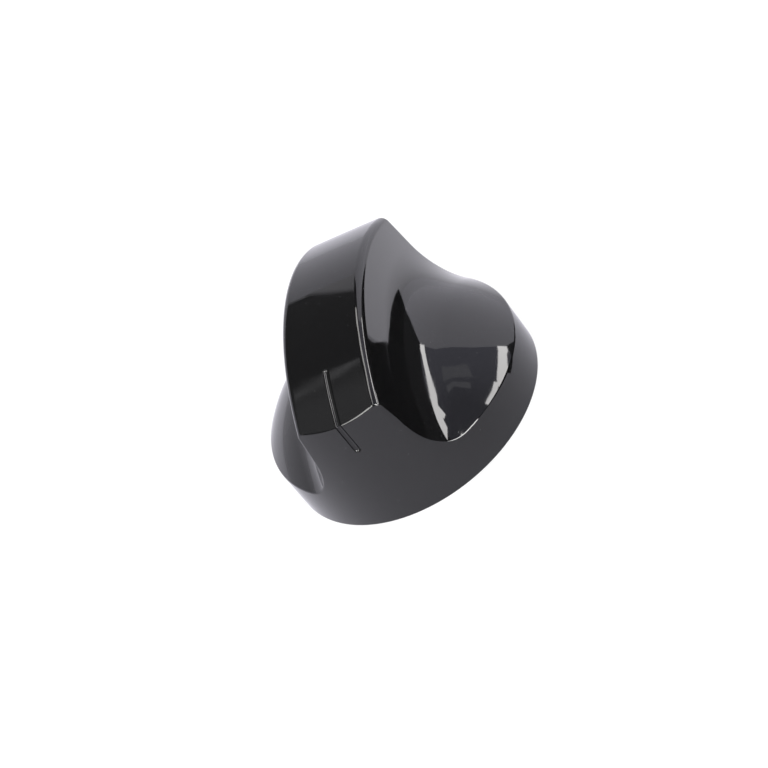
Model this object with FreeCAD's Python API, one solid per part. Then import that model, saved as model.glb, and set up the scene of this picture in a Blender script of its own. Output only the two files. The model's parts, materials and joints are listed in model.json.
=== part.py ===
# Oven control knob: a round skirt, two domed shoulders and an arched grip bar, moulded in one piece,
# with a steel spring band round the split hub behind it.
# Units are millimetres. +Z is the knob's axis, out of the control panel. The origin is the centre of
# the back rim. X runs across the grip, Y along it, and the pointer is at the -Y end.
import FreeCAD, Part
import math
import os

# Outer form
rim_diameter = 44.0
shoulder_height = 7.3        # height of the edge between skirt and shoulder
crown_height = 28.2          # top of the grip's arch
arch_radius = 39.0           # arch of the grip, seen from the side
grip_width = 13.9            # across the crown, before its edges are rounded
flank_draft = 9.0            # degrees that each flank of the grip leans out towards its root
root_fillet = 11.5           # hollow curve between flank and shoulder
crown_edge_radius = 1.35     # rounding along the two long edges of the crown
skirt_edge_radius = 0.4      # rounding where the skirt meets the shoulders and the grip's ends

# Pointer groove, cut with a round-nosed tool
pointer_width = 1.05
pointer_depth = 0.4
pointer_start = 14.1         # from the knob's axis to the groove's inner end
pointer_drop = 6.0           # how far the groove runs down the end of the grip

# Hollow back
wall = 2.2
rib_thickness = 1.6
rib_recess = 8.6             # the ribs stop this far above the back rim

# Hub and bore, for a 6 mm spindle with a flat
hub_diameter = 12.0
hub_recess = 1.5             # the hub's mouth lies this far above the back rim
spindle_diameter = 6.0
spindle_flat = 4.5           # across the flat
guide_clearance = 0.25       # all round the spindle, in the round guide
drive_clearance = 0.05       # all round the spindle, in the D-shaped drive
lead_in = 0.4                # chamfer at the bore's mouth
guide_length = 5.0           # round part of the bore
drive_length = 12.0          # D-shaped part of the bore
slit_width = 1.2
slit_length = 12.0           # the hub's split, from its mouth

# Spring band round the hub
band_thickness = 0.6
band_height = 5.0
band_gap = 3.0
seat_depth = 0.4             # the band's seat is this deep in the hub
seat_clearance = 0.1         # above and below the band
collar_height = 1.2          # lip of the hub that keeps the band on

# Worked out from the sizes above
rim_radius = rim_diameter / 2
hub_radius = hub_diameter / 2
arch_axis_height = crown_height - arch_radius
shoulder_radius = math.hypot(rim_radius, shoulder_height - arch_axis_height)
end_height = arch_axis_height + math.sqrt(arch_radius ** 2 - rim_radius ** 2)
guide_radius = spindle_diameter / 2 + guide_clearance
drive_radius = spindle_diameter / 2 + drive_clearance
flat_offset = spindle_flat - spindle_diameter / 2 + drive_clearance
guide_bottom = hub_recess + lead_in
drive_bottom = guide_bottom + guide_length
seat_radius = hub_radius - seat_depth
seat_bottom = hub_recess + collar_height
seat_top = seat_bottom + band_height + 2 * seat_clearance
band_bottom = seat_bottom + seat_clearance
pierce = 1.0                 # how far a cutting shape runs past the surface that it opens

UP = FreeCAD.Vector(0, 0, 1)
ACROSS = FreeCAD.Vector(1, 0, 0)
ALONG = FreeCAD.Vector(0, 1, 0)
ARCH_CENTRE = FreeCAD.Vector(0, 0, arch_axis_height)


def upright(radius, bottom, top, centre_y=0.0):
    """Upright cylinder on X = 0."""
    return Part.makeCylinder(radius, top - bottom, FreeCAD.Vector(0, centre_y, bottom), UP)


def block(size_x, low_y, high_y, low_z, high_z):
    """Box that is centred on X = 0."""
    corner = FreeCAD.Vector(-size_x / 2, low_y, low_z)
    return Part.makeBox(size_x, high_y - low_y, high_z - low_z, corner)


def arc(centre, first, last):
    """The shorter arc about a centre between two points."""
    middle = (first - centre).normalize() + (last - centre).normalize()
    return Part.Arc(first, centre + middle.normalize() * (first - centre).Length, last).toShape()


def turned(outline):
    """Solid of revolution about the arch's axis, from a closed outline drawn with the arch's centre at 0."""
    solid = Part.Face(Part.Wire(outline)).revolve(FreeCAD.Vector(), ACROSS, 360)
    solid.translate(ARCH_CENTRE)
    return solid


def grip_form():
    """Crown, flanks and shoulders as one form, turned about the arch's axis.

    One half of its section runs from the middle of the crown over the rounded edge, down the leaning flank
    and through the hollow root to the round shoulder. The other half is its mirror image.
    """
    draft = math.radians(flank_draft)
    down_flank = FreeCAD.Vector(math.sin(draft), 0, -math.cos(draft))
    off_flank = FreeCAD.Vector(math.cos(draft), 0, math.sin(draft))
    centre = FreeCAD.Vector()
    crown_middle = UP * arch_radius
    corner = crown_middle + ACROSS * (grip_width / 2)
    # The edge's centre is one radius inside both the crown and the flank.
    edge_reach = crown_edge_radius * math.tan((math.pi / 2 - draft) / 2)
    crown_end = corner - ACROSS * edge_reach
    flank_top = corner + down_flank * edge_reach
    edge = arc(crown_end - UP * crown_edge_radius, crown_end, flank_top)
    # The root's centre is one radius outside both the flank and the shoulder.
    beside = corner + off_flank * root_fillet
    along = beside.dot(down_flank)
    slide = -along - math.sqrt(along ** 2 - beside.dot(beside) + (shoulder_radius + root_fillet) ** 2)
    root_centre = beside + down_flank * slide
    flank_end = root_centre - off_flank * root_fillet
    dome_start = root_centre * (shoulder_radius / root_centre.Length)
    root = arc(root_centre, flank_end, dome_start)
    pole = ACROSS * shoulder_radius
    outline = [Part.makeLine(centre, crown_middle), Part.makeLine(crown_middle, crown_end), edge]
    outline += [Part.makeLine(flank_top, flank_end), root]
    outline += [arc(centre, dome_start, pole), Part.makeLine(pole, centre)]
    half = turned(outline)
    return half.fuse(half.mirror(FreeCAD.Vector(), ACROSS)).removeSplitter()


def core_height(radius):
    """Height of the shoulder's inside, at a distance from the knob's axis."""
    return arch_axis_height + math.sqrt((shoulder_radius - wall) ** 2 - radius ** 2)


def core_form():
    """The mould's core, at least one wall inside the outer form: a bar in the grip, a cone in the shoulders."""
    lean = math.tan(math.radians(flank_draft))
    bar_top = arch_radius - wall
    half_top = grip_width / 2 + wall * (lean - math.hypot(1, lean))
    half_base = half_top + bar_top * lean
    ends = [(-half_base, 0), (half_base, 0), (half_top, bar_top), (-half_top, bar_top)]
    corners = [FreeCAD.Vector(x, 0, height) for x, height in ends]
    bar = turned(Part.makePolygon(corners + corners[:1]).Edges)
    inner_radius = rim_radius - wall
    low, high = [core_height(radius) for radius in (inner_radius, hub_radius)]
    cone = Part.makeCone(inner_radius, hub_radius, high - low, FreeCAD.Vector(0, 0, low), UP)
    skirt = upright(inner_radius, -pierce, low)
    return bar.common(upright(inner_radius, -pierce, crown_height)).fuse([cone, skirt])


def skirt_edges(shape):
    """The closed run of edges where the skirt meets the shoulders and the ends of the grip."""
    sides = [face for face in shape.Faces if isinstance(face.Surface, Part.Cylinder)]
    skirts = [face for face in sides if abs(face.Surface.Axis.z) > 0.99]
    edges = [edge for face in skirts for edge in face.Edges if not isinstance(edge.Curve, Part.Line)]
    return [edge for edge in edges if edge.BoundBox.ZMin > 0.1]


def outer_form():
    """The whole knob with no hollow and no groove."""
    form = grip_form().common(upright(rim_radius, 0, crown_height + pierce))
    return form.makeFillet(skirt_edge_radius, skirt_edges(form))


def pointer_groove():
    """Round-nosed groove along the crown and down the -Y end of the grip."""
    nose = ((pointer_width / 2) ** 2 + pointer_depth ** 2) / (2 * pointer_depth)
    stand_off = nose - pointer_depth
    first_turn = math.degrees(math.asin(pointer_start / arch_radius))
    last_turn = math.degrees(math.asin((rim_radius + pierce) / arch_radius))
    crown_point = ARCH_CENTRE + UP * (arch_radius + stand_off)
    disc = Part.Face(Part.Wire(Part.makeCircle(nose, crown_point, ALONG)))
    disc.rotate(ARCH_CENTRE, ACROSS, first_turn)
    along_crown = disc.revolve(ARCH_CENTRE, ACROSS, last_turn - first_turn)
    start = Part.makeSphere(nose, disc.CenterOfMass)
    tip = FreeCAD.Vector(0, -rim_radius - stand_off, end_height - pointer_drop + nose)
    down_end = upright(nose, tip.z, end_height + pierce, tip.y)
    return along_crown.fuse([start, down_end, Part.makeSphere(nose, tip)])


def hub():
    """Hub with the seat for its spring band."""
    seat = upright(hub_radius + pierce, seat_bottom, seat_top).cut(upright(seat_radius, seat_bottom, seat_top))
    return upright(hub_radius, hub_recess, crown_height).cut(seat)


def hollow():
    """The open back, round the hub and its two ribs."""
    ribs = block(rim_diameter, -rib_thickness / 2, rib_thickness / 2, rib_recess, crown_height)
    return core_form().cut([hub(), ribs])


def bore():
    """Lead-in, round guide, D-shaped drive and the split of the hub."""
    mouth = FreeCAD.Vector(0, 0, hub_recess)
    cone = Part.makeCone(guide_radius + lead_in, guide_radius, lead_in, mouth, UP)
    guide = upright(guide_radius, hub_recess, drive_bottom)
    drive = upright(drive_radius, drive_bottom, drive_bottom + drive_length)
    beyond_flat = block(spindle_diameter + pierce, flat_offset, rim_radius, drive_bottom, crown_height)
    slit = block(slit_width, 0, hub_radius + pierce, hub_recess, hub_recess + slit_length)
    return guide.fuse([cone, drive.cut(beyond_flat), slit])


def knob_body():
    """The moulding."""
    return outer_form().cut([hollow(), bore(), pointer_groove()])


def hub_spring_band():
    """C-shaped band in the hub's seat, open at the split."""
    band_top = band_bottom + band_height
    outer_radius = seat_radius + band_thickness
    ring = upright(outer_radius, band_bottom, band_top).cut(upright(seat_radius, band_bottom, band_top))
    return ring.cut(block(band_gap, 0, outer_radius + pierce, band_bottom, band_top))


os.makedirs("parts", exist_ok=True)
for name, shape in (("knob_body", knob_body()), ("hub_spring_band", hub_spring_band())):
    print(name, "valid", shape.isValid(), "solids", len(shape.Solids), "volume", round(shape.Volume, 1))
    shape.exportStep("parts/" + name + ".step")
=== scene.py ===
"""Gloss black oven control knob: the finishes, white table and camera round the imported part."""
import json
import logging
import math
from dataclasses import dataclass, field
from enum import Enum
from typing import Any, Optional, Sequence, Union

import bpy
from mathutils import Matrix, Vector

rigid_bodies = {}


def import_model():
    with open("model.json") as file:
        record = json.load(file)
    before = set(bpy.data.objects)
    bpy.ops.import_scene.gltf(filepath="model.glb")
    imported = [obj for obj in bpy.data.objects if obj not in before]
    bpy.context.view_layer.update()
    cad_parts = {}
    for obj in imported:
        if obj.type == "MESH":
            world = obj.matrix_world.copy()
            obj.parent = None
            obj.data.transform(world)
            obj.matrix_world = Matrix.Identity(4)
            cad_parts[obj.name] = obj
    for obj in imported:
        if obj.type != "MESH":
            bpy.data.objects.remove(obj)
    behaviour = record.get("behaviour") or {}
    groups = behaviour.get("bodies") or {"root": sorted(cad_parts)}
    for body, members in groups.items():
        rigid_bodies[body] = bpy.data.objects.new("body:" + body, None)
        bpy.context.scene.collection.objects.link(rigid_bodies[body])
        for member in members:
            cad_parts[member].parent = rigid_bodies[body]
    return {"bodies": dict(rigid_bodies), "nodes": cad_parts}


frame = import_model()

LOG = logging.getLogger("oven_control_knob")
MM = 0.001

Triple = tuple[float, float, float]
Colour = Triple
Range = tuple[float, float]


class Ray(Enum):
    """Kinds of light ray that a stage material can tell apart."""

    CAMERA = "Is Camera Ray"
    GLOSSY = "Is Glossy Ray"
    TRANSMISSION = "Is Transmission Ray"


class Shade:
    """A number in a shader: a socket with arithmetic that adds Math nodes."""

    def __init__(self, book: "NodeBook", socket: bpy.types.NodeSocket) -> None:
        """Keep the socket and the book that adds nodes.

        Args:
            book: The node book of the tree that the socket is in.
            socket: An output socket that gives a number.
        """
        self.book = book
        self.socket = socket

    def _math(self, operation: str, *values: Any) -> "Shade":
        """Add one Math node.

        Args:
            operation: The Math node's operation.
            values: Its inputs in order, numbers or shades.

        Returns:
            The node's result.
        """
        sockets = dict(enumerate(values))
        return self.book.shade("ShaderNodeMath", {"operation": operation}, sockets)

    def __add__(self, other: Any) -> "Shade":
        """This plus another."""
        return self._math("ADD", self, other)

    def __radd__(self, other: Any) -> "Shade":
        """Another plus this."""
        return self._math("ADD", other, self)

    def __sub__(self, other: Any) -> "Shade":
        """This minus another."""
        return self._math("SUBTRACT", self, other)

    def __rsub__(self, other: Any) -> "Shade":
        """Another minus this."""
        return self._math("SUBTRACT", other, self)

    def __mul__(self, other: Any) -> "Shade":
        """This times another."""
        return self._math("MULTIPLY", self, other)

    def __rmul__(self, other: Any) -> "Shade":
        """Another times this."""
        return self._math("MULTIPLY", other, self)

    def __truediv__(self, other: Any) -> "Shade":
        """This over another."""
        return self._math("DIVIDE", self, other)

    def __pow__(self, other: Any) -> "Shade":
        """This to the power of another."""
        return self._math("POWER", self, other)

    def __abs__(self) -> "Shade":
        """This without its sign."""
        return self._math("ABSOLUTE", self)

    def __lt__(self, other: Any) -> "Shade":
        """1 where this is less than another, else 0."""
        return self._math("LESS_THAN", self, other)

    def __or__(self, other: Any) -> "Shade":
        """The larger of the two."""
        return self._math("MAXIMUM", self, other)

    def sign(self) -> "Shade":
        """1 where this is above 0, and -1 where it is below."""
        return self._math("SIGN", self)

    def hypot(self, other: "Shade") -> "Shade":
        """The length of a line whose two parts, at right angles, are this and another."""
        return (self * self + other * other) ** 0.5

    def ramp(self, low: float, high: float, to_low: float = 0.0, to_high: float = 1.0) -> "Shade":
        """Ease this from one range to another, clamped.

        Args:
            low: The value that gives to_low.
            high: The value that gives to_high.
            to_low: The result at low.
            to_high: The result at high.

        Returns:
            The eased value.
        """
        sockets = {"Value": self, "From Min": low, "From Max": high, "To Min": to_low, "To Max": to_high}
        return self.book.shade("ShaderNodeMapRange", {"interpolation_type": "SMOOTHSTEP"}, sockets)


@dataclass(frozen=True)
class MixKind:
    """What a Mix node mixes, with the numbers of its two inputs and its result."""

    data_type: str
    first: int
    second: int
    result: int


COLOUR_MIX = MixKind("RGBA", 6, 7, 2)
VECTOR_MIX = MixKind("VECTOR", 4, 5, 1)


class NodeBook:
    """Adds nodes to one shader tree."""

    def __init__(self, tree: bpy.types.NodeTree) -> None:
        """Start with an empty tree.

        Args:
            tree: The tree that gets the nodes.
        """
        self.tree = tree
        tree.nodes.clear()

    def node(self, kind: str, settings: dict[str, Any], sockets: dict[Any, Any]) -> bpy.types.Node:
        """Add one node.

        Args:
            kind: The node's type.
            settings: Its properties, set first.
            sockets: Its inputs by name or number: values, shades or other nodes' sockets.

        Returns:
            The new node.
        """
        node = self.tree.nodes.new(kind)
        for name, value in settings.items():
            setattr(node, name, value)
        for key, value in sockets.items():
            socket = node.inputs[key]
            if isinstance(value, Shade):
                self.tree.links.new(value.socket, socket)
            elif isinstance(value, bpy.types.NodeSocket):
                self.tree.links.new(value, socket)
            else:
                socket.default_value = value
        return node

    def shade(self, kind: str, settings: dict[str, Any], sockets: dict[Any, Any], output: Any = 0) -> Shade:
        """Add one node and take one of its outputs as a number.

        Args:
            kind: The node's type.
            settings: Its properties.
            sockets: Its inputs.
            output: The output's name or number.

        Returns:
            That output.
        """
        return Shade(self, self.node(kind, settings, sockets).outputs[output])

    def vector(self, operation: str, sockets: dict[Any, Any]) -> bpy.types.NodeSocket:
        """Add one Vector Math node and take its result."""
        return self.node("ShaderNodeVectorMath", {"operation": operation}, sockets).outputs["Vector"]

    def place(self) -> bpy.types.NodeSocket:
        """Object coordinates in millimetres."""
        metres = self.node("ShaderNodeTexCoord", {}, {}).outputs["Object"]
        return self.vector("SCALE", {0: metres, "Scale": 1 / MM})

    def axes(self, place: bpy.types.NodeSocket) -> tuple[Shade, ...]:
        """The three parts of a vector."""
        parts = self.node("ShaderNodeSeparateXYZ", {}, {"Vector": place})
        return tuple(Shade(self, parts.outputs[axis]) for axis in "XYZ")

    def stretched(self, place: bpy.types.NodeSocket, turn: Triple, scale: Triple) -> bpy.types.NodeSocket:
        """Turn and stretch a place.

        Args:
            place: The vector to map.
            turn: Rotation about each axis, in degrees.
            scale: Scale along each axis, after the turn.

        Returns:
            The mapped vector.
        """
        sockets = {"Vector": place, "Rotation": [math.radians(angle) for angle in turn]}
        turned = self.node("ShaderNodeMapping", {"vector_type": "POINT"}, sockets).outputs["Vector"]
        return self.vector("MULTIPLY", {0: turned, 1: scale})

    def noise(self, place: bpy.types.NodeSocket, scale: float, detail: float) -> Shade:
        """Soft noise.

        Args:
            place: The vector to read it at.
            scale: Features per unit.
            detail: Octaves.

        Returns:
            The noise, about 0.5 on average.
        """
        sockets = {"Vector": place, "Scale": scale, "Detail": detail}
        return self.shade("ShaderNodeTexNoise", {"noise_dimensions": "3D"}, sockets, "Fac")

    def mix(self, kind: MixKind, amount: Shade, first: Any, second: Any) -> bpy.types.NodeSocket:
        """Mix two colours or two vectors.

        Args:
            kind: What is mixed.
            amount: 0 for the first, 1 for the second.
            first: First value or socket.
            second: Second value or socket.

        Returns:
            The mix.
        """
        sockets = {0: amount, kind.first: first, kind.second: second}
        return self.node("ShaderNodeMix", {"data_type": kind.data_type}, sockets).outputs[kind.result]

    def mixed(self, amount: Shade, low: Colour, high: Colour) -> bpy.types.NodeSocket:
        """Mix two colours, from the first at 0 to the second at 1."""
        return self.mix(COLOUR_MIX, amount, (*low, 1.0), (*high, 1.0))

    def facing(self, amount: Shade, parts: Sequence[Shade]) -> bpy.types.NodeSocket:
        """Mix the mesh's own normal with another.

        Args:
            amount: 0 for the mesh's own normal, 1 for the other.
            parts: The other normal's three parts, in the object's axes.

        Returns:
            The mixed normal.
        """
        given = self.node("ShaderNodeCombineXYZ", {}, dict(enumerate(parts))).outputs["Vector"]
        settings = {"vector_type": "NORMAL", "convert_from": "OBJECT", "convert_to": "WORLD"}
        given = self.node("ShaderNodeVectorTransform", settings, {"Vector": given}).outputs["Vector"]
        own = self.node("ShaderNodeNewGeometry", {}, {}).outputs["Normal"]
        return self.vector("NORMALIZE", {0: self.mix(VECTOR_MIX, amount, own, given)})

    def bump(self, height: Shade, depth: float,
             facing: Optional[bpy.types.NodeSocket] = None) -> bpy.types.NodeSocket:
        """A normal from a height.

        Args:
            height: The height, 0 to 1.
            depth: What a height of 1 stands for, in metres.
            facing: The normal that the height stands on, if not the mesh's own.

        Returns:
            The normal.
        """
        sockets = {"Height": height, "Distance": depth}
        if facing is not None:
            sockets["Normal"] = facing
        return self.node("ShaderNodeBump", {}, sockets).outputs["Normal"]


def new_material(name: str) -> tuple[bpy.types.Material, NodeBook]:
    """Make an empty node material.

    Args:
        name: The material's name.

    Returns:
        The material and its node book.
    """
    material = bpy.data.materials.new(name)
    material.use_nodes = True
    return material, NodeBook(material.node_tree)


def put_out(book: NodeBook, shader: bpy.types.Node) -> None:
    """Link a shader to a new output node.

    Args:
        book: The node book of the tree.
        shader: The node whose first output is the surface.
    """
    book.node("ShaderNodeOutputMaterial", {}, {"Surface": shader.outputs[0]})


@dataclass(frozen=True)
class Mottle:
    """Noise over a surface, in features per millimetre, that may be cut to patches or drawn out."""

    scale: float
    detail: float
    cut: Optional[Range] = None
    turn: Triple = (0.0, 0.0, 0.0)
    stretch: Optional[Triple] = None

    def shade(self, book: NodeBook, place: bpy.types.NodeSocket) -> Shade:
        """Add the noise.

        Args:
            book: The node book of the material.
            place: Object coordinates in millimetres.

        Returns:
            The noise, from 0 to 1.
        """
        if self.stretch is not None:
            place = book.stretched(place, self.turn, self.stretch)
        amount = book.noise(place, self.scale, self.detail)
        return amount if self.cut is None else amount.ramp(*self.cut)


@dataclass(frozen=True)
class DustSpecks:
    """Single specks of dust, each in the middle of a cell. Scale is cells per millimetre."""

    scale: float = 0.85
    edge: Range = (0.075, 0.03)  # from a speck's rim towards its middle, in cells
    kept_cells: Range = (0.62, 0.7)  # a cell holds a speck where its random value is above this

    def shade(self, book: NodeBook, place: bpy.types.NodeSocket) -> Shade:
        """Add the specks.

        Args:
            book: The node book of the material.
            place: Object coordinates in millimetres.

        Returns:
            1 on a speck and 0 off it.
        """
        sockets = {"Vector": place, "Scale": self.scale, "Randomness": 1.0}
        cell = book.node("ShaderNodeTexVoronoi", {"feature": "F1"}, sockets)
        near = Shade(book, cell.outputs["Distance"]).ramp(*self.edge)
        kept = book.shade("ShaderNodeSeparateColor", {}, {"Color": cell.outputs["Color"]})
        return near * kept.ramp(*self.kept_cells)


@dataclass(frozen=True)
class GlossBlackPlastic:
    """Polished black moulding, with a duller core side, faint handling marks and a little dust.

    Depths are in metres. The core side's grain is given as a number of peel depths.
    """

    black: Colour = (0.0070, 0.0070, 0.0074)
    dusty: Colour = (0.11, 0.11, 0.115)
    ior: float = 1.52
    polish: float = 0.045
    smudged: float = 0.10
    core_roughness: float = 0.42
    scuff_roughness: float = 0.10
    speck_roughness: float = 0.4
    speck_dust: float = 0.5
    scuff_dust: float = 0.05
    core_dust: float = 0.04
    peel_depth: float = 0.0000008
    scuff_depth: float = 0.0000012
    core_grain_peels: float = 4.0
    smudges: Mottle = Mottle(0.16, 4.0, (0.42, 0.74))
    long_scuffs: Mottle = Mottle(1.0, 3.0, (0.62, 0.76), (0.0, 0.0, 24.0), (0.12, 5.5, 5.5))
    cross_scuffs: Mottle = Mottle(1.0, 3.0, (0.64, 0.78), (0.0, 35.0, -38.0), (6.5, 0.1, 6.5))
    scuff_patches: Mottle = Mottle(0.11, 2.0, (0.46, 0.66))
    peel: Mottle = Mottle(0.55, 2.0)
    core_grain: Mottle = Mottle(9.0, 2.0)
    specks: DustSpecks = DustSpecks()

    def material(self, form: "KnobForm") -> bpy.types.Material:
        """Build the material.

        Args:
            form: The knob's outer form, which gives its core side and its normals.

        Returns:
            The material.
        """
        material, book = new_material("gloss_black_plastic")
        place = book.place()
        core = form.core_side(book, place)
        outside = 1 - core
        smudge = self.smudges.shade(book, place)
        scuff = self.long_scuffs.shade(book, place) | self.cross_scuffs.shade(book, place)
        scuff = scuff * self.scuff_patches.shade(book, place)
        speck = self.specks.shade(book, place)
        height = self.peel.shade(book, place) * outside + scuff * (self.scuff_depth / self.peel_depth)
        height = height + self.core_grain.shade(book, place) * core * self.core_grain_peels
        roughness = self.polish + smudge * (self.smudged - self.polish)
        roughness = roughness + scuff * self.scuff_roughness + speck * self.speck_roughness
        dust = speck * self.speck_dust + scuff * self.scuff_dust + core * self.core_dust
        shader = book.node("ShaderNodeBsdfPrincipled", {}, {
            "Base Color": book.mixed(dust, self.black, self.dusty),
            "Roughness": roughness * outside + core * self.core_roughness,
            "IOR": self.ior,
            "Normal": book.bump(height, self.peel_depth, form.facing(book, place)),
        })
        put_out(book, shader)
        return material


@dataclass(frozen=True)
class SpringSteel:
    """Rolled spring steel strip, with streaks along the strip. The streaks' depth is in metres."""

    bright: Colour = (0.60, 0.60, 0.59)
    dark: Colour = (0.36, 0.355, 0.345)
    streak_tint: float = 0.55
    stain_tint: float = 0.45
    roughness: float = 0.26
    streak_roughness: float = 0.12
    stain_roughness: float = 0.14
    streak_depth: float = 0.000004
    streaks: Mottle = Mottle(1.0, 4.0, stretch=(0.10, 0.10, 9.0))
    stains: Mottle = Mottle(0.45, 4.0, (0.45, 0.75))

    def material(self) -> bpy.types.Material:
        """Build the material.

        Returns:
            The material.
        """
        material, book = new_material("spring_steel")
        place = book.place()
        streak = self.streaks.shade(book, place)
        stain = self.stains.shade(book, place)
        tint = streak * self.streak_tint + stain * self.stain_tint
        shader = book.node("ShaderNodeBsdfPrincipled", {}, {
            "Base Color": book.mixed(tint, self.bright, self.dark),
            "Metallic": 1.0,
            "Roughness": self.roughness + streak * self.streak_roughness + stain * self.stain_roughness,
            "Normal": book.bump(streak, self.streak_depth),
        })
        put_out(book, shader)
        return material


@dataclass(frozen=True)
class WhiteBoard:
    """White board of the table and its sweep, which the eye sees as white and the gloss as a cool white.

    What the gloss shows is painted light, a glow that grows brighter or dimmer across X, one way near the
    knob and another way far off.
    Places are in millimetres.
    """

    white: Colour = (0.86, 0.86, 0.86)
    shaded: Colour = (0.84, 0.84, 0.84)
    eye_white: Colour = (1.04, 1.04, 1.04)
    gloss_white: Colour = (0.99, 0.975, 1.08)
    roughness: float = 0.7
    seen_white: float = 0.90  # share of the glow in what the eye and the gloss see
    near_sides: Range = (5.0, 25.0)
    near_levels: Range = (1.04, 0.85)
    far_sides: Range = (-1200.0, 1200.0)
    far_levels: Range = (0.82, 1.60)
    reach: Range = (20.0, 160.0)
    mottle: Mottle = Mottle(0.004, 3.0)

    def material(self) -> bpy.types.Material:
        """Build the material.

        Returns:
            The material.
        """
        material, book = new_material("white_board")
        place = book.place()
        x, y, _ = book.axes(place)
        board = book.node("ShaderNodeBsdfPrincipled", {}, {
            "Base Color": book.mixed(self.mottle.shade(book, place), self.white, self.shaded),
            "Roughness": self.roughness,
        })
        path = book.node("ShaderNodeLightPath", {}, {})
        camera, glossy, through = (Shade(book, path.outputs[ray.value]) for ray in Ray)
        far = x.hypot(y).ramp(*self.reach)
        # painted light: the glow is brighter or dimmer across X, one way near the knob and another way far
        # off
        near_painted_light = x.ramp(*self.near_sides, *self.near_levels)
        far_painted_light = x.ramp(*self.far_sides, *self.far_levels)
        lit = near_painted_light * (1 - far) + far_painted_light * far
        colour = book.mixed(camera, self.gloss_white, self.eye_white)
        glow = book.node("ShaderNodeEmission", {}, {"Color": colour, "Strength": camera | lit})
        seen = (camera | glossy | through) * self.seen_white
        mix = book.node("ShaderNodeMixShader", {}, {0: seen, 1: board.outputs[0], 2: glow.outputs[0]})
        put_out(book, mix)
        return material


@dataclass(frozen=True)
class Fade:
    """A change of strength along Y, from one place to another in millimetres."""

    start: float
    end: float
    end_strength: float


@dataclass(frozen=True)
class Glow:
    """A lit or dark card of the studio, even or fading along Y."""

    name: str
    colour: Colour
    strength: float
    fade: Optional[Fade] = None

    def material(self) -> bpy.types.Material:
        """Build the material.

        Returns:
            The material.
        """
        material, book = new_material(self.name)
        strength: Union[float, Shade] = self.strength
        if self.fade is not None:
            _, along, _ = book.axes(book.place())
            strength = along.ramp(self.fade.start, self.fade.end, self.strength, self.fade.end_strength)
        sockets = {"Color": (*self.colour, 1.0), "Strength": strength}
        put_out(book, book.node("ShaderNodeEmission", {}, sockets))
        return material


@dataclass(frozen=True)
class Bearing:
    """How the outer form's profile lies at a place: its normal, and how far the place is off the profile."""

    normal_out: Shade
    normal_up: Shade
    off: Shade


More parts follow.
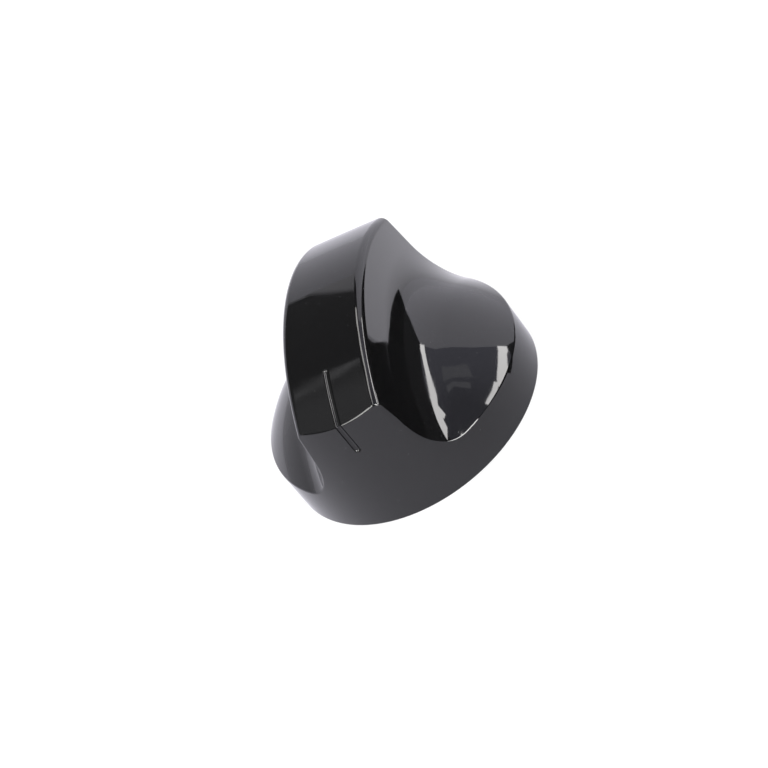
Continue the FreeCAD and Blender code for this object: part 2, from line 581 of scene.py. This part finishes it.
@dataclass
class KnobForm:
    """Outer form of the moulding: a profile turned about the arch's axis and cut by the skirt.

    Sizes are in millimetres and angles in radians. A place on the profile is given by its distance out from
    the middle of the grip and its distance up from the arch's axis.
    """

    rim_radius: float = 22.0
    shoulder_height: float = 7.3
    crown_height: float = 28.2
    arch_radius: float = 39.0
    half_grip: float = 6.95
    flank_draft: float = math.radians(9.0)
    root_fillet: float = 11.5
    edge_radius: float = 1.35
    skirt_edge: float = 0.4
    skin: float = 1.0  # the core side starts this far inside the outer form
    on_surface: float = 0.012  # a place this close to a surface is on it
    off_surface: float = 0.03  # a place this far from a surface is off it
    arch_axis: float = field(init=False)
    shoulder_radius: float = field(init=False)
    corner: Vector = field(init=False)
    down_flank: Vector = field(init=False)
    off_flank: Vector = field(init=False)
    flank_length: float = field(init=False)
    edge_reach: float = field(init=False)
    edge_centre: Vector = field(init=False)
    root_centre: Vector = field(init=False)

    def __post_init__(self) -> None:
        """Work out the profile's other sizes."""
        self.arch_axis = self.crown_height - self.arch_radius
        self.shoulder_radius = math.hypot(self.rim_radius, self.shoulder_height - self.arch_axis)
        self.corner = Vector((self.half_grip, self.arch_radius))
        self.down_flank = Vector((math.sin(self.flank_draft), -math.cos(self.flank_draft)))
        self.off_flank = Vector((math.cos(self.flank_draft), math.sin(self.flank_draft)))
        self.edge_reach = self.edge_radius * math.tan((math.pi / 2 - self.flank_draft) / 2)
        self.edge_centre = self.corner - Vector((self.edge_reach, self.edge_radius))
        beside = self.corner + self.off_flank * self.root_fillet
        along = beside.dot(self.down_flank)
        reach = self.shoulder_radius + self.root_fillet
        self.flank_length = -along - math.sqrt(along ** 2 - beside.dot(beside) + reach ** 2)
        self.root_centre = beside + self.down_flank * self.flank_length

    def core_side(self, book: NodeBook, place: bpy.types.NodeSocket) -> Shade:
        """Find the inside of the hollow back.

        Args:
            book: The node book of the material.
            place: Object coordinates in millimetres.

        Returns:
            1 on the core side of the moulding and 0 on the outside.
        """
        x, y, z = book.axes(place)
        up = y.hypot(z - self.arch_axis)
        in_dome = x.hypot(up) < self.shoulder_radius - self.skin
        flank = self.half_grip - self.skin + (self.arch_radius - up) * math.tan(self.flank_draft)
        in_bar = (abs(x) < flank) * (up < self.arch_radius - self.skin)
        return (in_dome | in_bar) * (x.hypot(y) < self.rim_radius - self.skin)

    def bearing(self, out: Shade, up: Shade) -> Bearing:
        """Find how the profile lies at a place: on the rounded edge, the flank, the root or the dome.

        Args:
            out: The place's distance out from the middle of the grip.
            up: Its distance up from the arch's axis.

        Returns:
            The profile's normal there, and the place's distance off the profile.
        """
        past_corner = out - self.corner.x
        above_corner = up - self.corner.y
        along = past_corner * self.down_flank.x + above_corner * self.down_flank.y
        proud = past_corner * self.off_flank.x + above_corner * self.off_flank.y
        edge_out = (out - self.edge_centre.x) | 0.0
        edge_up = up - self.edge_centre.y
        edge_length = edge_out.hypot(edge_up)
        root_out = self.root_centre.x - out
        root_up = self.root_centre.y - up
        root_length = root_out.hypot(root_up)
        dome_length = out.hypot(up)
        on_edge = along < self.edge_reach
        past_flank = 1 - (along < self.flank_length)
        on_flank = 1 - on_edge - past_flank
        on_dome = past_flank * (up * self.root_centre.x < out * self.root_centre.y)
        on_root = past_flank - on_dome
        normal_out = (on_edge * edge_out / edge_length + on_flank * self.off_flank.x
                      + on_root * root_out / root_length + on_dome * out / dome_length)
        normal_up = (on_edge * edge_up / edge_length + on_flank * self.off_flank.y
                     + on_root * root_up / root_length + on_dome * up / dome_length)
        off = (on_edge * (edge_length - self.edge_radius) + on_flank * proud
               + on_root * (self.root_fillet - root_length) + on_dome * (dome_length - self.shoulder_radius))
        return Bearing(normal_out, normal_up, off)

    def facing(self, book: NodeBook, place: bpy.types.NodeSocket) -> bpy.types.NodeSocket:
        """Find the true normal of the turned form and the skirt, so that reflections run smoothly.

        Args:
            book: The node book of the material.
            place: Object coordinates in millimetres.

        Returns:
            The normal, which is the mesh's own away from these surfaces.
        """
        x, y, z = book.axes(place)
        height = z - self.arch_axis
        up = y.hypot(height)
        form = self.bearing(abs(x), up)
        form_x = x.sign() * form.normal_out
        form_y = form.normal_up * y / up
        form_z = form.normal_up * height / up
        axis_radius = x.hypot(y)
        skirt_x = x / axis_radius
        skirt_y = y / axis_radius
        # The rounded edge between the form and the skirt keeps the mesh's own normals.
        rounded = self.skirt_edge * (1 - form_x * skirt_x - form_y * skirt_y)
        near_form = abs(form.off).ramp(self.off_surface, self.on_surface)
        near_skirt = abs(axis_radius - self.rim_radius).ramp(self.off_surface, self.on_surface)
        on_form = near_form * (axis_radius < self.rim_radius - rounded)
        on_skirt = near_skirt * (form.off + rounded < 0.0)
        off_skirt = 1 - on_skirt
        parts = (
            off_skirt * form_x + on_skirt * skirt_x,
            off_skirt * form_y + on_skirt * skirt_y,
            off_skirt * form_z,
        )
        return book.facing(on_form | on_skirt, parts)


def assign(node: str, material: bpy.types.Material) -> bpy.types.Object:
    """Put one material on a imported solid.

    Args:
        node: The solid's name.
        material: Its material.

    Returns:
        The solid's object.
    """
    solid = frame["nodes"][node]
    for slot in solid.material_slots:
        slot.material = material
    return solid


@dataclass
class KnobBody:
    """The moulding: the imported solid, dressed."""

    node: str = "knob_body"
    form: KnobForm = field(default_factory=KnobForm)
    finish: GlossBlackPlastic = GlossBlackPlastic()

    def dress(self) -> bpy.types.Object:
        """Give the solid its finish and return it."""
        return assign(self.node, self.finish.material(self.form))


@dataclass
class HubSpringBand:
    """The spring band round the split hub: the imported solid, dressed."""

    node: str = "hub_spring_band"
    finish: SpringSteel = SpringSteel()

    def dress(self) -> bpy.types.Object:
        """Give the solid its finish and return it."""
        return assign(self.node, self.finish.material())


class Seen(Enum):
    """Which rays meet a card of the studio."""

    BY_ALL = "all"
    BY_GLOSS = "gloss"
    BY_EYE = "eye"


def limit_rays(thing: bpy.types.Object, seen: Seen) -> None:
    """Choose which rays meet a stage object.

    Args:
        thing: The stage object.
        seen: The rays that meet it.
    """
    thing.visible_camera = seen is not Seen.BY_GLOSS
    thing.visible_glossy = seen is not Seen.BY_EYE
    thing.visible_diffuse = seen is Seen.BY_ALL
    thing.visible_shadow = seen is Seen.BY_ALL


@dataclass(frozen=True)
class Card:
    """A sheet that curves round the knob at one distance, in metres, from stops across it.

    Each stop is an azimuth, a low elevation and a high elevation, in degrees as seen from the knob.
    """

    name: str
    distance: float
    stops: Sequence[Triple]
    finish: Union[WhiteBoard, Glow]
    seen: Seen

    def stand(self) -> bpy.types.Object:
        """Add the card.

        Returns:
            The card's object.
        """
        last = len(self.stops) - 1
        bpy.ops.mesh.primitive_grid_add(x_subdivisions=last, y_subdivisions=1, size=2.0)
        card = bpy.context.object
        card.name = self.name
        # The grid runs from -1 to 1 both ways. The stops lie across it, and its two rows are low and high.
        for corner in card.data.vertices:
            azimuth, low, high = self.stops[round((corner.co.x + 1) / 2 * last)]
            turn = math.radians(azimuth)
            rise = math.tan(math.radians(high if corner.co.y > 0 else low))
            corner.co = Vector((math.cos(turn), math.sin(turn), rise)) * self.distance
        card.data.materials.append(self.finish.material())
        limit_rays(card, self.seen)
        return card


@dataclass(frozen=True)
class Sheet:
    """A flat sheet just over the table that only the gloss shows. Sizes are in metres."""

    name: str
    outline: Sequence[tuple[float, float]]
    height: float
    finish: Glow

    def lay(self) -> bpy.types.Object:
        """Add the sheet.

        Returns:
            The sheet's object.
        """
        bpy.ops.mesh.primitive_circle_add(vertices=len(self.outline), radius=1.0, fill_type="NGON")
        sheet = bpy.context.object
        sheet.name = self.name
        for corner, (x, y) in zip(sheet.data.vertices, self.outline):
            corner.co = (x, y, self.height)
        sheet.data.materials.append(self.finish.material())
        limit_rays(sheet, Seen.BY_GLOSS)
        return sheet


@dataclass(frozen=True)
class SoftBox:
    """A square overhead lamp that gives the plain soft light. Sizes are in metres."""

    name: str = "overhead_soft_box"
    place: Triple = (0.15, -0.25, 1.5)
    size: float = 1.3
    watts: float = 19.0

    def hang(self) -> bpy.types.Object:
        """Add the lamp.

        Returns:
            The lamp's object.
        """
        bpy.ops.object.light_add(type="AREA", location=self.place)
        lamp = bpy.context.object
        lamp.name = self.name
        lamp.rotation_euler = Vector(self.place).to_track_quat("Z", "Y").to_euler()
        lamp.data.size = self.size
        lamp.data.energy = self.watts
        lamp.visible_glossy = False
        return lamp


BOARD = WhiteBoard()
WINDOW_GLOW = Glow("window_glow", (1.0, 0.985, 0.98), 11.0)
LOW_GLOW = Glow("low_glow", (1.0, 0.99, 0.98), 18.0)
SKY_GLOW = Glow("sky_glow", (1.0, 0.99, 0.97), 6.0)
FRONT_GLOW = Glow("front_glow", (1.0, 0.99, 0.97), 9.0)
CEILING_HAZE = Glow("ceiling_haze", (0.90, 0.90, 1.10), 0.40, Fade(-700.0, 1000.0, 0.70))
CEILING_PANEL = Glow("ceiling_panel", (0.95, 0.95, 1.06), 0.95)
CROWN_HAZE = Glow("crown_haze", (0.97, 0.97, 1.0), 0.45, Fade(-600.0, 900.0, 0.12))
CEILING_LINE = Glow("ceiling_line", (0.97, 0.97, 1.0), 1.30)
CROWN_WHITE = Glow("crown_white", (0.99, 0.975, 1.04), 0.15, Fade(133.6, 135.2, 0.80))
SWEEP_LIP = Glow("sweep_lip", (0.99, 0.975, 1.04), 0.50)
DARK_SHEET = Glow("dark_sheet", (0.0, 0.0, 0.0), 0.0)
# painted light: a pool of light on the table, shown only in the gloss, fading along Y
PAINTED_LIGHT_SHEET = Glow("painted_light_sheet", (0.99, 0.975, 1.06), 1.40, Fade(40.0, 110.0, 1.10))


@dataclass
class Studio:
    """White table with a sweep behind it, in a dark room with a long window to the right.

    Sizes are in metres. The sheets and cards are placed where the knob's reflections come from.
    """

    table_radius: float = 1.7
    table_sides: int = 96
    table_drop: float = 0.0001
    room: Colour = (0.060, 0.060, 0.064)
    soft_box: SoftBox = SoftBox()
    sheets: Sequence[Sheet] = (
        Sheet("dark_sheet", (
            (0.028, -0.004), (0.075, -0.020), (1.6, -0.4), (1.6, 1.2), (1.1, 1.28), (0.234, 0.282),
            (0.056, 0.075), (0.054, 0.058), (0.049, 0.041), (0.040, 0.028), (0.0355, 0.0260),
            (0.0345, 0.019), (0.0325, 0.013), (0.0305, 0.008), (0.0285, 0.003),
        ), 0.0002, DARK_SHEET),
        # painted light: a lit patch of the table that only the gloss shows
        Sheet("painted_light_sheet", (
            (0.0, 0.024), (0.036, 0.024), (0.049, 0.041), (0.054, 0.058), (0.056, 0.075),
            (0.085, 0.110), (0.0, 0.110),
        ), 0.0001, PAINTED_LIGHT_SHEET),
    )
    cards: Sequence[Card] = (
        Card("white_sweep", 1.7, (
            (36, 22, 31), (37, 21, 39), (38.5, 19, 42), (41.3, 15, 46.1), (43.2, 12.5, 48.3),
            (44.7, 10, 49.6), (47, 6, 53), (49.5, 0, 56), (80, 0, 46), (115, 0, 30.3),
            (125, 0, 28.5), (150, 0, 23), (215, 0, 20),
        ), BOARD, Seen.BY_ALL),
        Card("sweep_lip", 1.75, (
            (100, 34, 37.5), (115, 30, 31.5), (125, 28, 29.7), (150, 22, 24.2),
        ), SWEEP_LIP, Seen.BY_GLOSS),
        Card("low_screen", 1.7, tuple((angle, 0, 9) for angle in range(215, 410, 5)), BOARD, Seen.BY_EYE),
        Card("window_strip", 1.3, (
            (-12, 17.4, 25.5), (-6, 18, 26.5), (0, 19, 27), (2, 19.7, 29), (5, 20.5, 31.5), (9, 22, 32.2),
            (15, 24, 31.7), (22, 24.8, 30.3), (30, 23.3, 28.3), (33, 21.8, 27.2), (36.3, 21.2, 26.5),
        ), WINDOW_GLOW, Seen.BY_ALL),
        Card("window_edge", 0.06, (
            (-21, 29.2, 32.4), (-18, 28.6, 32.4), (-11, 28, 31.3), (-4, 28.4, 31),
        ), WINDOW_GLOW, Seen.BY_GLOSS),
        Card("low_window", 1.5, ((-52, 0, 34), (-40, 0, 34), (-30, 0, 34)), LOW_GLOW, Seen.BY_GLOSS),
        Card("skylight", 2.0, (
            (-55, 66, 78), (6, 63, 76), (60, 62, 78), (76, 57, 70), (95, 57, 66),
        ), SKY_GLOW, Seen.BY_GLOSS),
        Card("front_lamp", 1.5, ((-115, 15, 60), (-98, 15, 60), (-82, 15, 60)), FRONT_GLOW, Seen.BY_GLOSS),
        Card("ceiling_haze", 2.2, (
            (-70, 20, 80), (-30, 20, 80), (10, 20, 80), (48, 20, 80),
        ), CEILING_HAZE, Seen.BY_GLOSS),
        Card("ceiling_panel_near", 2.1, ((-9, 46, 60), (4, 47.5, 60)), CEILING_PANEL, Seen.BY_GLOSS),
        Card("ceiling_panel_far", 2.1, ((9, 46, 60), (25, 47.5, 60)), CEILING_PANEL, Seen.BY_GLOSS),
        Card("crown_haze", 2.2, (
            (100, 30, 84), (155, 30, 84), (180, 30, 84), (220, 30, 84), (260, 30, 84),
        ), CROWN_HAZE, Seen.BY_GLOSS),
        Card("ceiling_line", 2.1, (
            (159, 66.2, 66.9), (165, 66.4, 67.1), (170, 66.4, 67.1), (178, 65, 65.8), (185, 62.2, 62.9),
        ), CEILING_LINE, Seen.BY_GLOSS),
        Card("crown_card", 0.15, ((106.5, 36.3, 47.7), (116.8, 36.3, 47.7)), CROWN_WHITE, Seen.BY_GLOSS),
    )

    def table(self) -> bpy.types.Object:
        """Build the table's top.

        Returns:
            The table.
        """
        bpy.ops.mesh.primitive_circle_add(vertices=self.table_sides, radius=self.table_radius,
                                          fill_type="NGON", location=(0.0, 0.0, -self.table_drop))
        top = bpy.context.object
        top.name = "white_table"
        top.data.materials.append(BOARD.material())
        return top

    def build(self) -> None:
        """Set up the table, the sheets, the cards, the lamp and the room."""
        LOG.info("stage %s", self.table().name)
        for sheet in self.sheets:
            LOG.info("stage %s", sheet.lay().name)
        for card in self.cards:
            LOG.info("stage %s", card.stand().name)
        LOG.info("lamp %s", self.soft_box.hang().name)
        world = bpy.data.worlds.new("dark_room")
        world.use_nodes = True
        book = NodeBook(world.node_tree)
        room = book.node("ShaderNodeBackground", {}, {"Color": (*self.room, 1.0), "Strength": 1.0})
        book.node("ShaderNodeOutputWorld", {}, {"Surface": room.outputs[0]})
        bpy.context.scene.world = world
        bpy.context.scene.view_settings.view_transform = "Standard"


@dataclass(frozen=True)
class Viewpoint:
    """The camera, above the pointer's end of the grip and rolled to the left.

    Distances are in metres, and the lens and sensor in millimetres.
    """

    towards: Triple = (0.3621, -0.7115, 0.6022)
    right: Triple = (0.8655, 0.0167, -0.5007)
    distance: float = 0.4038
    clip_start: float = 0.01
    lens: float = 120.42
    sensor: float = 36.0
    shift_x: float = -0.0393
    shift_y: float = 0.0372

    def stand(self) -> bpy.types.Object:
        """Add the camera and make it the scene's.

        Returns:
            The camera's object.
        """
        back = Vector(self.towards).normalized()
        up = back.cross(Vector(self.right)).normalized()
        right = up.cross(back)
        bpy.ops.object.camera_add()
        camera = bpy.context.object
        camera.name = "camera"
        turn = Matrix((right, up, back)).transposed().to_4x4()
        camera.matrix_world = Matrix.Translation(back * self.distance) @ turn
        camera.data.lens = self.lens
        camera.data.sensor_width = self.sensor
        camera.data.shift_x = self.shift_x
        camera.data.shift_y = self.shift_y
        camera.data.clip_start = self.clip_start
        bpy.context.scene.camera = camera
        return camera


def clear_start_scene() -> None:
    """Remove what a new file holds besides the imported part."""
    kept = list(frame["nodes"].values()) + list(frame["bodies"].values())
    for thing in list(bpy.data.objects):
        if thing not in kept:
            bpy.data.objects.remove(thing)


def main() -> None:
    """Dress the part, set up the table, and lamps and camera."""
    logging.basicConfig(level=logging.INFO, format="%(name)s: %(message)s")
    clear_start_scene()
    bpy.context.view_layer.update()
    for piece in (KnobBody(), HubSpringBand()):
        LOG.info("dressed %s", piece.dress().name)
    Studio().build()
    LOG.info("camera %s", Viewpoint().stand().name)


if __name__ == "__main__":
    main()
